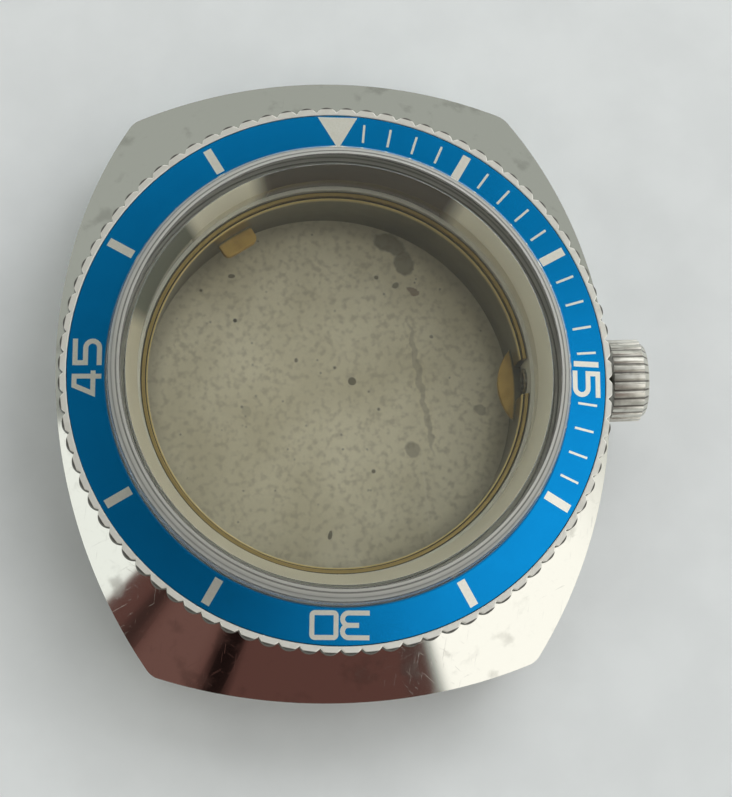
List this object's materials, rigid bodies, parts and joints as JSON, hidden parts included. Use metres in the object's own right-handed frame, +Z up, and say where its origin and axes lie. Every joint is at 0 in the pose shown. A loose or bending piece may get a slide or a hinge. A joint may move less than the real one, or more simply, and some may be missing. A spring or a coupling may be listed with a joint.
{
  "type": "empty watch case",
  "caption": "Empty barrel-shaped diver's watch case: turning bezel, clear crystal, brass movement ring, fluted crown, screw-in back and sprung strap bars.",
  "frame": {"origin": "centre of the case back's flat underside", "axes": "+Z up through the crystal, +Y towards 12 o'clock, +X towards the crown"},
  "size_m": [0.0435, 0.0466, 0.013],
  "materials": {
    "case_steel": "polished",
    "bezel_steel": "polished",
    "insert_blue": "anodised blue with pale markings",
    "spring_wire": "drawn wire",
    "crystal_clear": "clear acrylic, lightly scratched",
    "tension_mirror": "mirror",
    "ring_brass": "turned, tarnished",
    "crown_steel": "fluted, worn",
    "tube_steel": "turned",
    "seal_rubber": "matt",
    "back_steel": "stained inside",
    "bar_steel": "drawn tube",
    "tip_steel": "turned"
  },
  "bodies": {
    "case": {"case_middle": "case_steel", "crystal": "crystal_clear", "tension_ring": "tension_mirror", "movement_ring": "ring_brass", "crown_tube": "tube_steel"},
    "bezel": {"bezel_ring": "bezel_steel", "bezel_insert": "insert_blue", "bezel_wire": "spring_wire"},
    "seal": {"crown_seal": "seal_rubber"},
    "crown": {"crown": "crown_steel", "crown_washer": "tube_steel", "crown_stem": "tube_steel"},
    "back": {"case_back": "back_steel", "back_gasket": "seal_rubber"},
    "upper_bar": {"upper_bar_tube": "bar_steel"},
    "lower_bar": {"lower_bar_tube": "bar_steel"},
    "upper_left_tip": {"upper_bar_left_tip": "tip_steel"},
    "upper_right_tip": {"upper_bar_right_tip": "tip_steel"},
    "lower_left_tip": {"lower_bar_left_tip": "tip_steel"},
    "lower_right_tip": {"lower_bar_right_tip": "tip_steel"}
  },
  "joints": [
    {"name": "bezel_turn", "type": "hinge", "parent": "case", "child": "bezel", "pos_m": [0, 0, 0.009], "axis": [0, 0, 1], "continuous": true},
    {"name": "crown_pull", "type": "slide", "parent": "case", "child": "seal", "axis": [1, 0, 0], "range_m": [0, 0.012]},
    {"name": "crown_turn", "type": "hinge", "parent": "seal", "child": "crown", "pos_m": [0.0222, 0, 0.00585], "axis": [1, 0, 0], "continuous": true},
    {"name": "back_off", "type": "slide", "parent": "case", "child": "back", "axis": [0, 0, -1], "range_m": [0, 0.035]},
    {"name": "upper_bar_turn", "type": "hinge", "parent": "case", "child": "upper_bar", "pos_m": [0, 0.0204, 0.0029], "axis": [1, 0, 0], "continuous": true},
    {"name": "upper_left_tip_press", "type": "slide", "parent": "upper_bar", "child": "upper_left_tip", "axis": [1, 0, 0], "range_m": [0, 0.0011], "stiffness_N_per_m": 500, "springref_m": -0.001},
    {"name": "upper_right_tip_press", "type": "slide", "parent": "upper_bar", "child": "upper_right_tip", "axis": [-1, 0, 0], "range_m": [0, 0.0011], "stiffness_N_per_m": 500, "springref_m": -0.001},
    {"name": "lower_bar_turn", "type": "hinge", "parent": "case", "child": "lower_bar", "pos_m": [0, -0.0204, 0.0029], "axis": [1, 0, 0], "continuous": true},
    {"name": "lower_left_tip_press", "type": "slide", "parent": "lower_bar", "child": "lower_left_tip", "axis": [1, 0, 0], "range_m": [0, 0.0011], "stiffness_N_per_m": 500, "springref_m": -0.001},
    {"name": "lower_right_tip_press", "type": "slide", "parent": "lower_bar", "child": "lower_right_tip", "axis": [-1, 0, 0], "range_m": [0, 0.0011], "stiffness_N_per_m": 500, "springref_m": -0.001}
  ]
}
